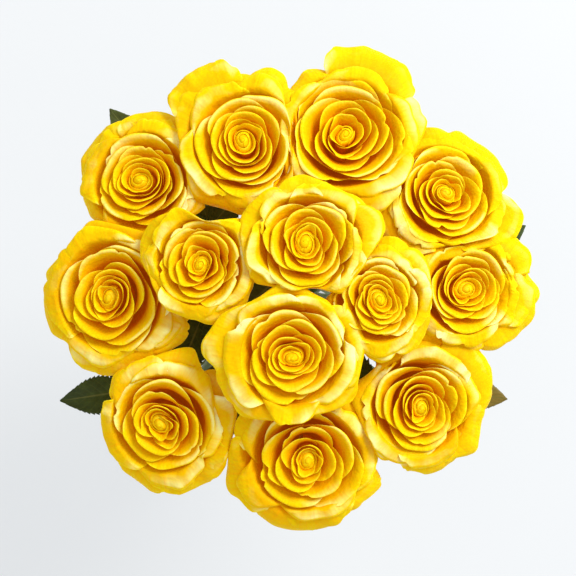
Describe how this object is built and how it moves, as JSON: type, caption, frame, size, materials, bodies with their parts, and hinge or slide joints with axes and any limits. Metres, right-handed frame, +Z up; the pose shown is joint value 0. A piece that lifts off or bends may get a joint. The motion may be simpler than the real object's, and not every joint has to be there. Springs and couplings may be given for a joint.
{
  "type": "bunch of roses",
  "caption": "Hand-tied bunch of open yellow roses with leaves, its stems spiralling through a twine tie so that it stands on their level-cut ends.",
  "frame": {"origin": "on the floor under the middle of the bunch's outline, at the level of the cut stem ends", "axes": "+Z up along the bunch, from the cut ends to the blooms; +X to the right and +Y away from a person who looks down on the blooms"},
  "size_m": [0.3019, 0.2806, 0.4197],
  "materials": {
    "petals": "soft satin petals, golden yellow, paler at the curled rims and deeper orange in the folds",
    "sepals": "matt green hips and sepals",
    "stems": "smooth green bark with thorns, pale cut ends",
    "leaves": "dark green, slightly glossy, veined, with saw-toothed edges",
    "twine": "twisted natural fibre"
  },
  "bodies": {
    "root": {"bloom_01": "petals", "calyx_01": "sepals", "stem_01": "stems", "bloom_02": "petals", "calyx_02": "sepals", "stem_02": "stems", "bloom_03": "petals", "calyx_03": "sepals", "stem_03": "stems", "bloom_04": "petals", "calyx_04": "sepals", "stem_04": "stems", "bloom_05": "petals", "calyx_05": "sepals", "stem_05": "stems", "bloom_06": "petals", "calyx_06": "sepals", "stem_06": "stems", "bloom_07": "petals", "calyx_07": "sepals", "stem_07": "stems", "bloom_08": "petals", "calyx_08": "sepals", "stem_08": "stems", "bloom_09": "petals", "calyx_09": "sepals", "stem_09": "stems", "bloom_10": "petals", "calyx_10": "sepals", "stem_10": "stems", "bloom_11": "petals", "calyx_11": "sepals", "stem_11": "stems", "bloom_12": "petals", "calyx_12": "sepals", "stem_12": "stems", "bloom_13": "petals", "calyx_13": "sepals", "stem_13": "stems", "leaf_01": "leaves", "leaf_02": "leaves", "leaf_03": "leaves", "leaf_04": "leaves", "leaf_05": "leaves", "leaf_06": "leaves", "leaf_07": "leaves", "leaf_08": "leaves", "leaf_09": "leaves", "leaf_10": "leaves", "leaf_11": "leaves", "leaf_12": "leaves", "leaf_13": "leaves", "leaf_14": "leaves", "leaf_15": "leaves", "leaf_16": "leaves", "leaf_17": "leaves", "leaf_18": "leaves", "leaf_19": "leaves", "tie": "twine", "tie_knot": "twine"}
  },
  "joints": []
}
